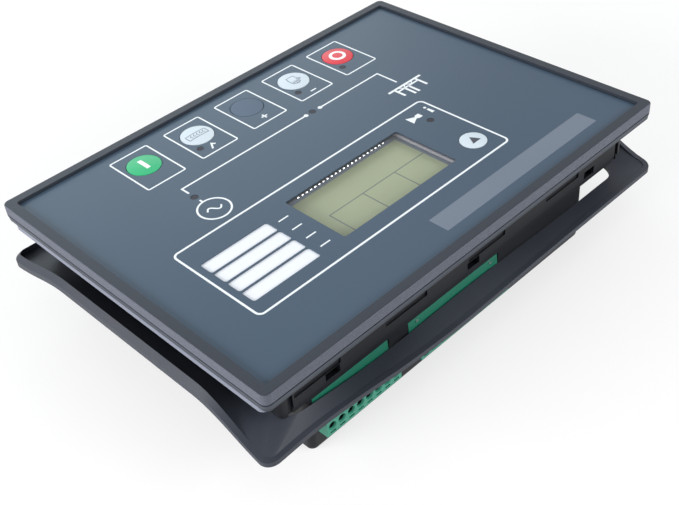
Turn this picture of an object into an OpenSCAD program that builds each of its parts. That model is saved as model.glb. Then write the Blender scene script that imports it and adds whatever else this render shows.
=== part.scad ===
// Panel-mount controller for a generating set, lying on its back with the fascia up.
// Origin: middle of its footprint, on the surface it lies on. Millimetres.
// +Z points out of the fascia, +X to the fascia's right, +Y to the fascia's upper edge.

/* [Panel fit] */
// Width of the panel cut-out
cutout_w = 220; // [200:1:260]
// Height of the panel cut-out
cutout_h = 160; // [150:1:200]
// Gap between the collar and the cut-out, each side
cutout_gap = 1; // [0.5:0.1:2]
// Overlap of the flange beyond the cut-out, left and right
flange_x = 10; // [8:0.5:16]
// Overlap of the flange beyond the cut-out, top and bottom
flange_y = 6; // [5:0.5:12]
// Set-back of the housing's flange behind the bezel, left and right
flange_in_x = 1.1; // [0.5:0.1:3]
// Set-back of the housing's flange behind the bezel, top and bottom
flange_in_y = 3.8; // [0.5:0.1:4]
// Half distance between the outer slots for the fixing clips
clip_x = 82.5; // [60:0.5:90]
// Width of a slot for a fixing clip
clip_w = 7.6; // [5:0.2:12]
// Height of a slot for a fixing clip
clip_h = 4.8; // [4.5:0.1:7]

/* [Case] */
// Depth from the back wall to the bezel's front
case_d = 57; // [54:1:75]
// Corner radius of the bezel
bezel_r = 3; // [2:0.5:8]
// Rounding of the bezel's front edge
bezel_edge_r = 0.6; // [0.3:0.1:1.5]
// Height of the bezel's side wall
bezel_side = 8.4; // [7.5:0.1:10]
// Width of the rim round the fascia
rim_w = 4.7; // [3:0.1:8]
// Depth of the fascia below the rim
recess_d = 1.5; // [0.8:0.1:2]
// Thickness of the plate behind the fascia
plate_t = 2.5; // [2:0.1:3]
// Height of the flange's side wall
flange_t = 3.6; // [3:0.1:6]
// Depth of the collar behind the flange
collar_d = 15.5; // [14:0.5:22]
// Thickness of the housing walls
wall = 2.5; // [1.8:0.1:3]
// Corner radius of the collar and the rear box
housing_r = 3; // [2:0.5:5]
// Rounding of the rear box's back edge
back_edge_r = 2; // [0.5:0.25:2.5]
// Ledge between the collar's left end and the rear box
ledge_left = 29; // [24:0.5:40]
// Ledge between the collar's right end and the rear box
ledge_right = 12.5; // [12:0.25:20]
// Step between the collar and the rear box at the top and bottom
box_step = 1; // [0.5:0.1:2]
// Width of the groove round the bezel's side
groove_w = 0.6; // [0.3:0.1:1]
// Depth of the groove round the bezel's side
groove_d = 0.5; // [0.2:0.1:0.8]

/* [Fascia] */
// Thickness of the printed film
film_t = 0.5; // [0.3:0.1:0.8]
// Diameter of the large buttons
button_d = 16; // [12:0.5:18]
// Distance between neighbouring large buttons
button_pitch = 30.9; // [26:0.1:34]
// Middle of the button row, to the right of the centre
button_row_x = -0.9; // [-6:0.1:6]
// Height of the button row above the centre
button_row_y = -61.8; // [-66:0.1:-55]
// Diameter of the scroll button
scroll_d = 12.5; // [10:0.5:14]
// Travel of a button
button_travel = 0.6; // [0.3:0.1:1]
// Height of a button's dome
button_dome = 0.5; // [0.2:0.1:0.8]
// Width of the display opening
view_w = 69.5; // [50:0.5:80]
// Height of the display opening
view_h = 36; // [24:0.5:44]
// Depth of the display glass below the fascia
view_depth = 4; // [3.5:0.1:5]
// Width of a label window
label_w = 35.5; // [20:0.5:40]
// Height of a label window
label_h = 7.6; // [4:0.1:7.8]
// Distance between neighbouring label windows
label_pitch = 8.4; // [8:0.1:9.5]
// Number of label windows
labels = 4; // [2:1:4]
// Diameter of a lamp's light pipe
lamp_d = 3.4; // [2:0.1:5]

/* [Terminals] */
// Distance between neighbouring ways of the small plugs
way_pitch = 5.08; // [4.5:0.01:5.5]
// Distance between neighbouring ways of the voltage plug
volt_pitch = 7.62; // [6:0.01:8]
// Ways of the first upper plug
ways_a = 8; // [4:1:8]
// Ways of the second upper plug
ways_b = 11; // [4:1:12]
// Ways of the voltage plug
ways_volt = 4; // [2:1:5]
// Ways of the current plug
ways_current = 5; // [3:1:8]
// How far a plug stands out of the rear box
plug_out = 6.5; // [5:0.25:8]
// Diameter of a wire entry
wire_d = 3.2; // [2.4:0.1:3.6]
// Gap between the upper plugs
plug_gap = 12.1; // [6:0.1:16]

/* [Gasket] */
// How far the gasket stands out beyond the bezel
gasket_proud = 3; // [2:0.25:5]
// Thickness of the gasket's web
web_t = 2; // [1.5:0.1:2.2]
// Thickness of the gasket's outer lip
lip_t = 2.5; // [1.5:0.1:4]
// Height of the gasket's outer lip
lip_h = 4; // [3:0.25:8]
// Corner radius of the gasket
gasket_r = 6; // [5:0.5:12]

/* [Hidden] */
$fn = 64;
eps = 0.01;
over = 1;
fit = 0.3;
fine_fit = 0.1;

// Outlines
bezel_w = cutout_w + 2 * flange_x;
bezel_h = cutout_h + 2 * flange_y;
collar_w = cutout_w - 2 * cutout_gap;
collar_h = cutout_h - 2 * cutout_gap;
box_left = collar_w / 2 - ledge_left;
box_right = collar_w / 2 - ledge_right;
box_w = box_left + box_right;
box_x = (box_right - box_left) / 2;
box_h = collar_h - 2 * box_step;
box_y = box_h / 2;
flange_w = bezel_w - 2 * flange_in_x;
flange_h = bezel_h - 2 * flange_in_y;
fascia_w = bezel_w - 2 * rim_w;
fascia_h = bezel_h - 2 * rim_w;
fascia_r = 1.2;
film_gap = 0.4;

// Levels from the back wall to the bezel's front
z_top = case_d;
z_face = z_top - recess_d;
z_plate = z_face - film_t;
z_plate_back = z_plate - plate_t;
z_split = z_top - bezel_side;
z_flange = z_split - flange_t;
z_collar = z_flange - collar_d;
board_t = 1.6;
glass_t = 2.8;
backlight_t = 4;
z_glass = z_face - view_depth;
z_backlight = z_glass - glass_t;
z_display = z_backlight - backlight_t;
z_display_back = z_display - board_t;
z_main = z_collar;
z_main_top = z_main + board_t;

// Housing details
groove_down = 5.4;
z_groove = z_top - groove_down;
side_draft = 0.5;
side_draft_h = z_groove - z_split;
cavity_r = 1.5;
pad_cut = 0.8;
pad_gap_w = 24;
pad_gap_h = 6;
pad_gap_drop = 2;
pad_gap_x = [-62, -9, 41, 90];
foot_band_h = 3;
foot_band_d = 0.8 * box_step;
notch_w = 2.5;
notch_d = 1.5;
notch_in = 4.8;
clip_z = z_collar + wall;
clip_places = [-clip_x, 0, clip_x];

// Fascia layout, from the middle of the fascia
view_x = 4.4;
view_y = 26.6;
well_drop = 4;
label_in = 44.25;
label_x = fascia_w / 2 - label_in;
label_y = 28.9;
scroll_at = [-46.4, 40.7];
function button_at(i) = [button_row_x + (i - 2) * button_pitch, button_row_y];
lamp_right = 6.1;
lamp_up = 9.9;
button_lamps = [for (i = [0, 1, 3]) button_at(i) + [lamp_right, lamp_up]];
line_lamps = [[-18, -33.8], [61.5, -24.7], [-47.1, 14.8]];
lamps = concat(button_lamps, line_lamps);
buttons = concat([for (i = [0 : 4]) concat(button_at(i), button_d)], [concat(scroll_at, scroll_d)]);
window_t = 1;
window_edge = 2.5;
card_t = 0.4;
card_edge = 2;
card_h = (labels - 1) * label_pitch + label_h + 2 * card_edge;
label_r = 1.2;

// Buttons and their switches
flange_lip = 1.25;
button_flange_t = 1.4;
button_rise = 0.1;
stem_d = 5;
pin_d = 2.8;
pin_in = 1;
switch_w = 7;
switch_h = 3.6;
z_switch = z_display + switch_h;
z_stem = z_switch + button_travel + fit;

// Fasteners
boss_d = 7;
screw_d = 3;
head_d = 5.6;
head_h = 2.1;
boss_drop = 5;
z_boss = z_flange - boss_drop;
screw_bite = 7;
post_bite = 5;
case_screw_in = 17;
case_screw_y = collar_h / 2 - case_screw_in;
case_screw_left = -(box_left + collar_w / 2) / 2;
case_screw_right = (box_right + collar_w / 2) / 2;
case_screws_at = [for (x = [case_screw_left, case_screw_right], s = [-1, 1]) [x, s * case_screw_y]];

// Boards
board_gap = 1.5;
display_left = case_screw_left + boss_d / 2 + board_gap;
display_right = case_screw_right - boss_d / 2 - board_gap;
display_half_h = box_y - wall - board_gap;
main_left = -box_left + wall + board_gap;
main_right = box_right - wall - board_gap;
post_y = 54;
post_left = button_row_x - 1.5 * button_pitch;
post_right = main_right - 4.5;
posts = [for (x = [post_left, post_right], s = [-1, 1]) [x, s * post_y]];
spacer_af = 5.5;
spacer_l = z_display_back - z_main_top;

// Display glass and its pins
glass_edge = 1.75;
glass_low = 2.4;
glass_w = view_w + 2 * glass_edge;
glass_h = view_h + glass_edge + glass_low;
glass_y = view_y + (glass_edge - glass_low) / 2;
glass_pins = 22;
glass_pin_pitch = 2.54;
glass_pin_w = 0.7;
glass_pin_t = 0.5;
glass_pin_x = view_x - 1;
glass_pin_hook = 1.6;

// Terminal plugs and headers: levels below the main board, places across the box wall
plug_end = 0.5;
plug_from_end = 3.3;
header_h = 12.5;
header_d = 12;
header_wall = 1.2;
header_set = 3.8;
header_front = box_y - header_set;
header_back = header_front - header_d;
nose_h = 7.2;
nose_in = 8;
nose_end = 0.5;
pin_drop = 7.5;
z_pin = z_main - pin_drop;
pin_w = 1;
plug_h = 18;
plug_bottom = z_main - plug_h;
hump_drop = 1.3;
clamp_back_drop = 8.9;
clamp_front_drop = 10.4;
hump_top = z_main - hump_drop;
clamp_top_back = z_main - clamp_back_drop;
clamp_top_front = z_main - clamp_front_drop;
wire_drop = 13.5;
z_wire = z_main - wire_drop;
plug_front = box_y + plug_out;
plug_back = header_front + fit;
hump_front = box_y - 0.4;
hump_foot = box_y + 0.2;
wire_deep = 7;
funnel_d = wire_d + 0.8;
funnel_deep = 0.8;
slot_w = 2.8;
slot_h = 0.9;
slot_deep = 1.2;
slot_up = 0.9;
clamp_screw_d = 3;
clamp_screw_h = 1.9;
clamp_screw_in = 4;
clamp_hole_deep = 2.6;
driver_slot_w = 0.6;
driver_slot_deep = 0.7;
coding_d = 1.3;
coding_deep = 1.5;
coding_out = 0.35;
coding_in = 5;
coding_drop = 3.2;
z_coding = z_main - coding_drop;
bay_gap = 0.4;
function plug_len(n, pitch) = n * pitch + 2 * plug_end;
len_a = plug_len(ways_a, way_pitch);
len_b = plug_len(ways_b, way_pitch);
len_volt = plug_len(ways_volt, volt_pitch);
len_current = plug_len(ways_current, way_pitch);
plug_a_x = box_right - plug_from_end - len_a / 2;
plug_b_x = plug_a_x - len_a / 2 - plug_gap - len_b / 2;
lower_plug_start = 24;
lower_plug_gap = 30;
plug_volt_x = -box_left + lower_plug_start + len_volt / 2;
plug_current_x = plug_volt_x + len_volt / 2 + lower_plug_gap + len_current / 2;
function way_x(i, n, pitch) = (i - (n - 1) / 2) * pitch;

// Parts on the boards
relay = [19.2, 15.4, 15.2];
relay_pitch = 22;
relay_y = 34;
relays_n = 4;
capacitor_d = 12.5;
capacitor_h = 18;
capacitor_pitch = 17;
capacitor_y = 34;
capacitors_n = 3;
sensor = [14, 12, 14];
sensor_pitch = 18;
sensor_y = -42;
sensors_n = 3;
chip = [20, 20, 1.5];
small_chip = [10, 8, 1.5];
link = [26, 5];
link_y = 45;
chip_gap = 24;

// Gasket: drops below the collar's foot at the corners, in the order NE, NW, SW, SE
gasket_in_x = collar_w / 2 - 1.2;
gasket_in_y = box_y + 0.6;
gasket_in_r = 2.5;
gasket_x = bezel_w / 2 + gasket_proud;
gasket_y = bezel_h / 2 + gasket_proud;
outer_drop = [10.2, 10, 9.5, 5.8];
inner_drop = [2.5, 10, 7.5, 6];
// Lifts between the corners: right end, left end, sides, over the first plug
outer_lift = [9.4, 12, 0, 2.2];
inner_lift = [1, 3.5, -1.3, 0];
lift_span = 0.5;
// How much more an end lifts towards the upper side, and the reach of the lift over the plug
lift_tilt = 0.25;
plug_reach = 0.45;
// Pull of the upper edge towards the housing at the right end
pull_in = 4;
pull_from = 50;
pull_span = 58;
corner_steps = 6;
side_steps = 18;
end_steps = 14;

// Outline of a rectangle with round corners
module round_rect(w, h, r) {
  square([w - 2 * r, h], center = true);
  square([w, h - 2 * r], center = true);
  for (sx = [-1, 1], sy = [-1, 1])
    translate([sx * (w / 2 - r), sy * (h / 2 - r)]) circle(r);
}

// Upright block between two levels with round corners
module slab(w, h, r, z0, z1) {
  translate([0, 0, z0]) linear_extrude(z1 - z0) round_rect(w, h, r);
}

// Strip of a given depth cut all the way round an outline
module ring_cut(w, h, r, depth, z0, z1) {
  translate([0, 0, z0]) linear_extrude(z1 - z0) difference() {
    square([w + 2 * over, h + 2 * over], center = true);
    round_rect(w - 2 * depth, h - 2 * depth, r - depth);
  }
}

// Section of the cut that rounds an edge; up = 1 for a top edge, -1 for a bottom edge
function round_cut(edge, up) = let (
  arc_points = [for (a = [0 : 30 : 90]) [edge * (sin(a) - 1), edge * (cos(a) - 1)]],
  outside = [[over, -edge], [over, over], [-edge, over]])
  [for (p = concat(arc_points, outside)) [p[0], up * p[1]]];

// Section of the cut that lets a side lean inwards towards its foot
function lean_cut(depth, height) =
  [[-depth, -over], [over, -over], [over, height], [0, height], [-depth, 0]];

// Cutter with this section along the edge of a block with round corners
module edge_cut(w, h, r, z, profile) {
  translate([0, 0, z]) for (turn = [0 : 90 : 270]) rotate([0, 0, turn]) {
    along = turn % 180 == 0 ? w : h;
    across = turn % 180 == 0 ? h : w;
    translate([r - along / 2, across / 2, 0]) rotate([90, 0, 90])
      linear_extrude(along - 2 * r) polygon(profile);
    translate([along / 2 - r, across / 2 - r, 0])
      rotate_extrude(angle = 90) translate([r, 0]) polygon(profile);
  }
}

module hole(p, d, z0, z1) {
  translate([p[0], p[1], z0]) cylinder(h = z1 - z0, d = d);
}

// Bezel: frame, fascia plate, bosses for the case screws and posts for the display board
module front_bezel() {
  color([0.2, 0.21, 0.23]) difference() {
    union() {
      difference() {
        slab(bezel_w, bezel_h, bezel_r, z_split, z_top);
        edge_cut(bezel_w, bezel_h, bezel_r, z_top, round_cut(bezel_edge_r, 1));
        edge_cut(bezel_w, bezel_h, bezel_r, z_split, lean_cut(side_draft, side_draft_h));
        slab(fascia_w, fascia_h, fascia_r, z_plate, z_top + over);
        slab(flange_w - 2 * wall, flange_h - 2 * wall, cavity_r, z_split - over, z_plate_back);
        ring_cut(bezel_w, bezel_h, bezel_r, groove_d, z_groove, z_groove + groove_w);
      }
      for (p = case_screws_at) hole(p, boss_d, z_boss, z_plate_back + eps);
      for (p = posts) hole(p, boss_d, z_display, z_plate_back + eps);
    }
    translate([view_x, view_y - well_drop / 2, 0]) {
      slab(view_w, view_h + well_drop, fascia_r, z_split, z_top);
      slab(view_w + 2 * (window_edge + fine_fit), view_h + well_drop + 2 * (window_edge + fine_fit),
        fascia_r, z_plate - window_t, z_top);
    }
    translate([label_x, label_y, 0])
      slab(label_w + 2 * (card_edge + fine_fit), card_h + 2 * fine_fit, fascia_r, z_plate - card_t, z_top);
    for (b = buttons) hole(b, b[2] + 2 * fit, z_split - over, z_top);
    for (p = lamps) hole(p, lamp_d + 2 * fine_fit, z_split - over, z_top);
    for (p = case_screws_at) hole(p, screw_d + fine_fit, z_boss - over, z_boss + screw_bite + over);
    for (p = posts) hole(p, screw_d + fine_fit, z_display - over, z_display + post_bite + over);
  }
}

// Printed film with openings for the display, the labels, the buttons and the lamps
module fascia_overlay() {
  color([0.3, 0.36, 0.42]) difference() {
    slab(fascia_w - 2 * film_gap, fascia_h - 2 * film_gap, fascia_r, z_plate, z_face);
    translate([view_x, view_y, 0]) slab(view_w, view_h, fascia_r, z_plate - over, z_face + over);
    for (i = [0 : labels - 1])
      translate([label_x, label_y + way_x(i, labels, label_pitch), 0])
        slab(label_w, label_h, label_r, z_plate - over, z_face + over);
    for (b = buttons) hole(b, b[2] + 2 * fit, z_plate - over, z_face + over);
    for (p = lamps) hole(p, lamp_d + 2 * fine_fit, z_plate - over, z_face + over);
  }
}

module display_window() {
  color([0.8, 0.85, 0.85, 0.4]) translate([view_x, view_y - well_drop / 2, 0])
    slab(view_w + 2 * window_edge, view_h + well_drop + 2 * window_edge, fascia_r, z_plate - window_t, z_plate);
}

module label_card() {
  color("white") translate([label_x, label_y, 0])
    slab(label_w + 2 * card_edge, card_h, fascia_r, z_plate - card_t, z_plate);
}

// Button cap: domed disc, guide skirt, retaining flange, stem and the pin that works the switch
module button(i) {
  p = buttons[i];
  d = p[2];
  rim_z = z_face + button_rise;
  dome_r = (pow(d / 2, 2) + pow(button_dome, 2)) / (2 * button_dome);
  z_flange_top = z_plate_back - fit;
  translate([p[0], p[1], 0]) {
    intersection() {
      hole([0, 0], d, z_flange_top - eps, rim_z + button_dome);
      translate([0, 0, rim_z + button_dome - dome_r]) sphere(dome_r, $fn = 128);
    }
    hole([0, 0], d + 2 * flange_lip, z_flange_top - button_flange_t, z_flange_top);
    hole([0, 0], stem_d, z_stem, z_flange_top - button_flange_t + eps);
    hole([0, 0], pin_d, z_switch - pin_in, z_stem + eps);
  }
}

module stop_button() { color([0.8, 0.1, 0.12]) button(0); }
module manual_button() { color([0.92, 0.94, 0.95]) button(1); }
module plus_button() { color([0.27, 0.32, 0.37]) button(2); }
module auto_button() { color([0.92, 0.94, 0.95]) button(3); }
module start_button() { color([0.1, 0.65, 0.25]) button(4); }
module scroll_button() { color([0.92, 0.94, 0.95]) button(5); }

module push_switches() {
  color([0.15, 0.15, 0.15]) for (b = buttons) difference() {
    translate([b[0] - switch_w / 2, b[1] - switch_w / 2, z_display]) cube([switch_w, switch_w, switch_h]);
    hole(b, pin_d + 2 * fit, z_switch - pin_in - button_travel - fit, z_switch + over);
  }
}

module status_lamps() {
  color([0.15, 0.05, 0.05]) for (p = lamps) hole(p, lamp_d, z_display, z_face - fine_fit);
}

module display_glass() {
  color([0.55, 0.57, 0.45]) translate([view_x, glass_y, 0])
    slab(glass_w, glass_h, fascia_r, z_backlight, z_glass);
}

// Row of clips that hook over the lower edge of the glass and stand on the board
module display_pins() {
  y_edge = glass_y - glass_h / 2;
  color("silver") for (i = [0 : glass_pins - 1])
    translate([glass_pin_x + way_x(i, glass_pins, glass_pin_pitch) - glass_pin_w / 2, 0, 0]) {
      translate([0, y_edge - glass_pin_t - fine_fit, z_display])
        cube([glass_pin_w, glass_pin_t, z_glass - z_display + glass_pin_t]);
      translate([0, y_edge - glass_pin_t - fine_fit, z_glass])
        cube([glass_pin_w, glass_pin_hook, glass_pin_t]);
    }
}

module display_backlight() {
  color([0.85, 0.88, 0.8]) translate([view_x, glass_y, 0])
    slab(glass_w, glass_h - 2 * glass_edge, fascia_r, z_display, z_backlight);
}

module display_board() {
  color([0.05, 0.3, 0.18]) difference() {
    translate([display_left, -display_half_h, z_display_back])
      cube([display_right - display_left, 2 * display_half_h, board_t]);
    for (p = posts) hole(p, screw_d + fit, z_display_back - over, z_display + over);
  }
}

// Hexagonal spacers with a stud into the bezel's posts and a threaded foot
module board_spacers() {
  color("goldenrod") for (p = posts) difference() {
    union() {
      translate([p[0], p[1], z_main_top])
        cylinder(h = spacer_l, r = spacer_af / 2 / cos(30), $fn = 6);
      hole(p, screw_d, z_display_back - eps, z_display + post_bite);
    }
    hole(p, screw_d, z_main_top - over, z_main_top + spacer_l - wall);
  }
}

module board_link() {
  color([0.1, 0.1, 0.1]) translate([box_x - link[0] / 2, link_y, z_main_top])
    cube([link[0], link[1], spacer_l]);
}

module main_board() {
  color([0.05, 0.3, 0.18]) difference() {
    translate([main_left, -display_half_h, z_main])
      cube([main_right - main_left, 2 * display_half_h, board_t]);
    for (p = posts) hole(p, screw_d + fit, z_main - over, z_main_top + over);
  }
}

module board_screws() {
  color("silver") for (p = posts) {
    hole(p, head_d, z_main - head_h, z_main);
    hole(p, screw_d - fine_fit, z_main - eps, z_main_top + spacer_l - 2 * wall);
  }
}

module relays() {
  color([0.1, 0.2, 0.45]) for (i = [0 : relays_n - 1])
    translate([main_left + board_gap + i * relay_pitch, relay_y - relay[1] / 2, z_main - relay[2]])
      cube(relay);
}

module capacitors() {
  color([0.12, 0.12, 0.2]) for (i = [0 : capacitors_n - 1])
    hole([main_left + relays_n * relay_pitch + (i + 0.6) * capacitor_pitch, capacitor_y],
      capacitor_d, z_main - capacitor_h, z_main);
}

module logic_chips() {
  color([0.08, 0.08, 0.08]) {
    translate([box_x - chip[0] / 2, -chip[1] / 2, z_main_top]) cube(chip);
    for (s = [-1, 1])
      translate([box_x + s * chip_gap - small_chip[0] / 2, -small_chip[1] / 2, z_main_top]) cube(small_chip);
  }
}

module current_sensors() {
  color([0.15, 0.25, 0.2]) for (i = [0 : sensors_n - 1])
    translate([plug_current_x + way_x(i, sensors_n, sensor_pitch) - sensor[0] / 2,
      sensor_y - sensor[1] / 2, z_main - sensor[2]]) cube(sensor);
}

// Shrouded header for n ways under the main board, open towards +Y
module header(n, pitch) {
  inner = plug_len(n, pitch) - 2 * (plug_end + nose_end) + 2 * fit;
  outer = inner + 2 * header_wall;
  difference() {
    translate([-outer / 2, header_back, z_main - header_h]) cube([outer, header_d, header_h]);
    translate([-inner / 2, header_front - nose_in - fit, z_pin - nose_h / 2 - fit])
      cube([inner, nose_in + fit + over, nose_h + 2 * fit]);
    for (i = [0 : n - 1])
      translate([way_x(i, n, pitch) - pin_w / 2 - fine_fit, header_back - over, z_pin - pin_w / 2 - fine_fit])
        cube([pin_w + 2 * fine_fit, header_d, pin_w + 2 * fine_fit]);
  }
}

// Bent pins of one header
module pins(n, pitch) {
  tail_y = header_back - pin_w - fine_fit;
  for (i = [0 : n - 1]) translate([way_x(i, n, pitch) - pin_w / 2, tail_y, 0]) {
    translate([0, 0, z_pin - pin_w / 2]) cube([pin_w, header_front - tail_y - 2, pin_w]);
    translate([0, 0, z_pin - pin_w / 2]) cube([pin_w, pin_w, z_main - z_pin + pin_w / 2]);
  }
}

// Section of a plug in the plane across the box wall: nose, raised back and sloping clamp part
plug_section = [
  [header_front - nose_in, z_pin - nose_h / 2], [plug_back, z_pin - nose_h / 2],
  [plug_back, plug_bottom], [plug_front, plug_bottom], [plug_front, clamp_top_front],
  [hump_foot, clamp_top_back], [hump_front, hump_top], [plug_back, hump_top],
  [plug_back, z_pin + nose_h / 2], [header_front - nose_in, z_pin + nose_h / 2]];

// Pluggable terminal block for n ways, wires from +Y, clamp screws from below
module plug(n, pitch) {
  length = plug_len(n, pitch);
  nose = length - 2 * (plug_end + nose_end);
  difference() {
    translate([-length / 2, 0, 0]) rotate([90, 0, 90]) linear_extrude(length) polygon(plug_section);
    for (s = [-1, 1])
      translate([s * (nose / 2 + over) - over, header_front - nose_in - over, z_pin - nose_h / 2 - over])
        cube([2 * over, nose_in + over, nose_h + 2 * over]);
    for (i = [0 : n - 1]) translate([way_x(i, n, pitch), 0, 0]) {
      translate([0, plug_front + over, z_wire]) rotate([90, 0, 0]) cylinder(h = wire_deep + over, d = wire_d);
      translate([0, plug_front + eps, z_wire]) rotate([90, 0, 0])
        cylinder(h = funnel_deep, d1 = funnel_d, d2 = wire_d);
      translate([-slot_w / 2, plug_front - slot_deep, plug_bottom + slot_up])
        cube([slot_w, slot_deep + over, slot_h]);
      hole([0, plug_front - clamp_screw_in], clamp_screw_d + 2 * fine_fit,
        plug_bottom - over, plug_bottom + clamp_hole_deep);
      translate([-pin_w / 2 - fit, header_front - nose_in - over, z_pin - pin_w / 2 - fit])
        cube([pin_w + 2 * fit, nose_in + over - pin_w, pin_w + 2 * fit]);
    }
  }
}

// Slotted screws of one plug
module screws(n, pitch) {
  z0 = plug_bottom + clamp_hole_deep - clamp_screw_h;
  for (i = [0 : n - 1]) translate([way_x(i, n, pitch), plug_front - clamp_screw_in, 0]) difference() {
    hole([0, 0], clamp_screw_d, z0, z0 + clamp_screw_h);
    translate([-clamp_screw_d, -driver_slot_w / 2, z0 - over])
      cube([2 * clamp_screw_d, driver_slot_w, over + driver_slot_deep]);
  }
}

// Places along the upper and the lower side
module at_a() { translate([plug_a_x, 0, 0]) children(); }
module at_b() { translate([plug_b_x, 0, 0]) children(); }
module at_voltage() { translate([plug_volt_x, 0, 0]) mirror([0, 1, 0]) children(); }
module at_current() { translate([plug_current_x, 0, 0]) mirror([0, 1, 0]) children(); }

module header_a() { color([0.05, 0.42, 0.3]) at_a() header(ways_a, way_pitch); }
module header_b() { color([0.05, 0.42, 0.3]) at_b() header(ways_b, way_pitch); }
module header_voltage() { color([0.05, 0.42, 0.3]) at_voltage() header(ways_volt, volt_pitch); }
module header_current() { color([0.05, 0.42, 0.3]) at_current() header(ways_current, way_pitch); }

module header_pins() {
  color("silver") {
    at_a() pins(ways_a, way_pitch);
    at_b() pins(ways_b, way_pitch);
    at_voltage() pins(ways_volt, volt_pitch);
    at_current() pins(ways_current, way_pitch);
  }
}

module plug_a() { color([0.15, 0.6, 0.45]) at_a() plug(ways_a, way_pitch); }
module plug_voltage() { color([0.15, 0.6, 0.45]) at_voltage() plug(ways_volt, volt_pitch); }
module plug_current() { color([0.15, 0.6, 0.45]) at_current() plug(ways_current, way_pitch); }

// Places of the coding pins near both ends of the second plug
module coding(d, out) {
  for (s = [-1, 1])
    translate([s * (len_b / 2 - coding_in), hump_foot + out, z_coding]) rotate([90, 0, 0])
      cylinder(h = coding_deep + out, d = d);
}

module plug_b() {
  color([0.15, 0.6, 0.45]) at_b() difference() {
    plug(ways_b, way_pitch);
    coding(coding_d + fine_fit, over);
  }
}

module coding_pins() { color([0.85, 0.88, 0.88]) at_b() coding(coding_d, 0); }

module clamp_screws() {
  color("silver") {
    at_a() screws(ways_a, way_pitch);
    at_b() screws(ways_b, way_pitch);
    at_voltage() screws(ways_volt, volt_pitch);
    at_current() screws(ways_current, way_pitch);
  }
}

// Opening in the box wall for one plug
module bay(length) {
  translate([-length / 2 - bay_gap, box_y - wall - over, plug_bottom - bay_gap])
    cube([length + 2 * bay_gap, wall + 2 * over, hump_top - plug_bottom + 2 * bay_gap]);
}

// Cuts in the upper wall of the collar: clip slots, gaps between the pads, corner notches
module collar_cuts() {
  y = collar_h / 2;
  for (x = clip_places)
    translate([x - clip_w / 2, y - 2 * wall, clip_z]) cube([clip_w, 2 * wall + over, clip_h]);
  for (x = pad_gap_x)
    translate([x - pad_gap_w / 2, y - pad_cut, z_flange - pad_gap_drop - pad_gap_h])
      cube([pad_gap_w, pad_cut + over, pad_gap_h]);
  for (s = [-1, 1])
    translate([s * (collar_w / 2 - notch_in) - notch_w / 2, y - notch_d, z_collar - over])
      cube([notch_w, notch_d + over, collar_d + over]);
}

// Moulded housing: flange tray, collar through the panel and the deeper box with the terminal bays
module rear_housing() {
  color([0.13, 0.14, 0.16]) difference() {
    union() {
      difference() {
        union() {
          slab(flange_w, flange_h, bezel_r, z_flange, z_split);
          slab(collar_w, collar_h, housing_r, z_collar, z_flange + eps);
          translate([box_x, 0, 0]) slab(box_w, box_h, housing_r, 0, z_collar + eps);
        }
        translate([box_x, 0, 0]) edge_cut(box_w, box_h, housing_r, 0, round_cut(back_edge_r, -1));
        slab(flange_w - 2 * wall, flange_h - 2 * wall, cavity_r, z_flange + wall, z_split + over);
        slab(collar_w - 2 * wall, collar_h - 2 * wall, housing_r - wall / 2, z_collar + wall, z_split + over);
        translate([box_x, 0, 0])
          slab(box_w - 2 * wall, box_h - 2 * wall, housing_r - wall / 2, wall, z_collar + 2 * wall);
        ring_cut(collar_w, collar_h, housing_r, foot_band_d, z_collar - over, z_collar + foot_band_h);
        collar_cuts();
        mirror([0, 1, 0]) collar_cuts();
        at_a() bay(len_a);
        at_b() bay(len_b);
        at_voltage() bay(len_volt);
        at_current() bay(len_current);
      }
      for (p = case_screws_at) hole(p, boss_d, z_collar + wall - eps, z_boss);
    }
    for (p = case_screws_at) hole(p, screw_d + fit, z_collar - over, z_boss + over);
  }
}

module case_screws() {
  color("silver") for (p = case_screws_at) {
    hole(p, head_d, z_collar - head_h, z_collar);
    hole(p, screw_d, z_collar - eps, z_boss + screw_bite);
  }
}

// Loop round a rectangle with round corners: the same number of points for any size
function arc(c, r, a0) =
  [for (i = [0 : corner_steps - 1]) let (a = a0 + 90 * i / corner_steps) c + r * [cos(a), sin(a)]];
function line(p, q, n) = [for (i = [0 : n - 1]) p + (q - p) * i / n];
function loop(x, y, r) = concat(
  arc([x - r, y - r], r, 0), line([x - r, y], [r - x, y], side_steps),
  arc([r - x, y - r], r, 90), line([-x, y - r], [-x, r - y], end_steps),
  arc([r - x, r - y], r, 180), line([r - x, -y], [x - r, -y], side_steps),
  arc([x - r, r - y], r, 270), line([x, r - y], [x, y - r], end_steps));

// Height of the hanging gasket at a point u, v of its unit square
function ease(t) = let (s = max(0, min(1, t))) s * s * (3 - 2 * s);
function swell(t) = ease((1 - abs(t)) / lift_span);
function corner_mix(c, u, v) = ((1 + u) * (1 + v) * c[0] + (1 - u) * (1 + v) * c[1]
  + (1 - u) * (1 - v) * c[2] + (1 + u) * (1 - v) * c[3]) / 4;
function over_plug(u, v) = ease(1 - abs(u - plug_a_x / gasket_x) / plug_reach) * pow(max(0, v), 4);
function hang(drop, lift, u, v) =
  z_collar - corner_mix(drop, u, v) + lift[u > 0 ? 0 : 1] * swell(v) * (1 + lift_tilt * v)
  + lift[2] * swell(u) + lift[3] * over_plug(u, v);

// Place of a point of the outer edge or the lip after the pull
function pulled(p) =
  p - [0, pull_in * ease((p[0] - pull_from) / pull_span) * pow(max(0, p[1] / gasket_y), 4)];

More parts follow.
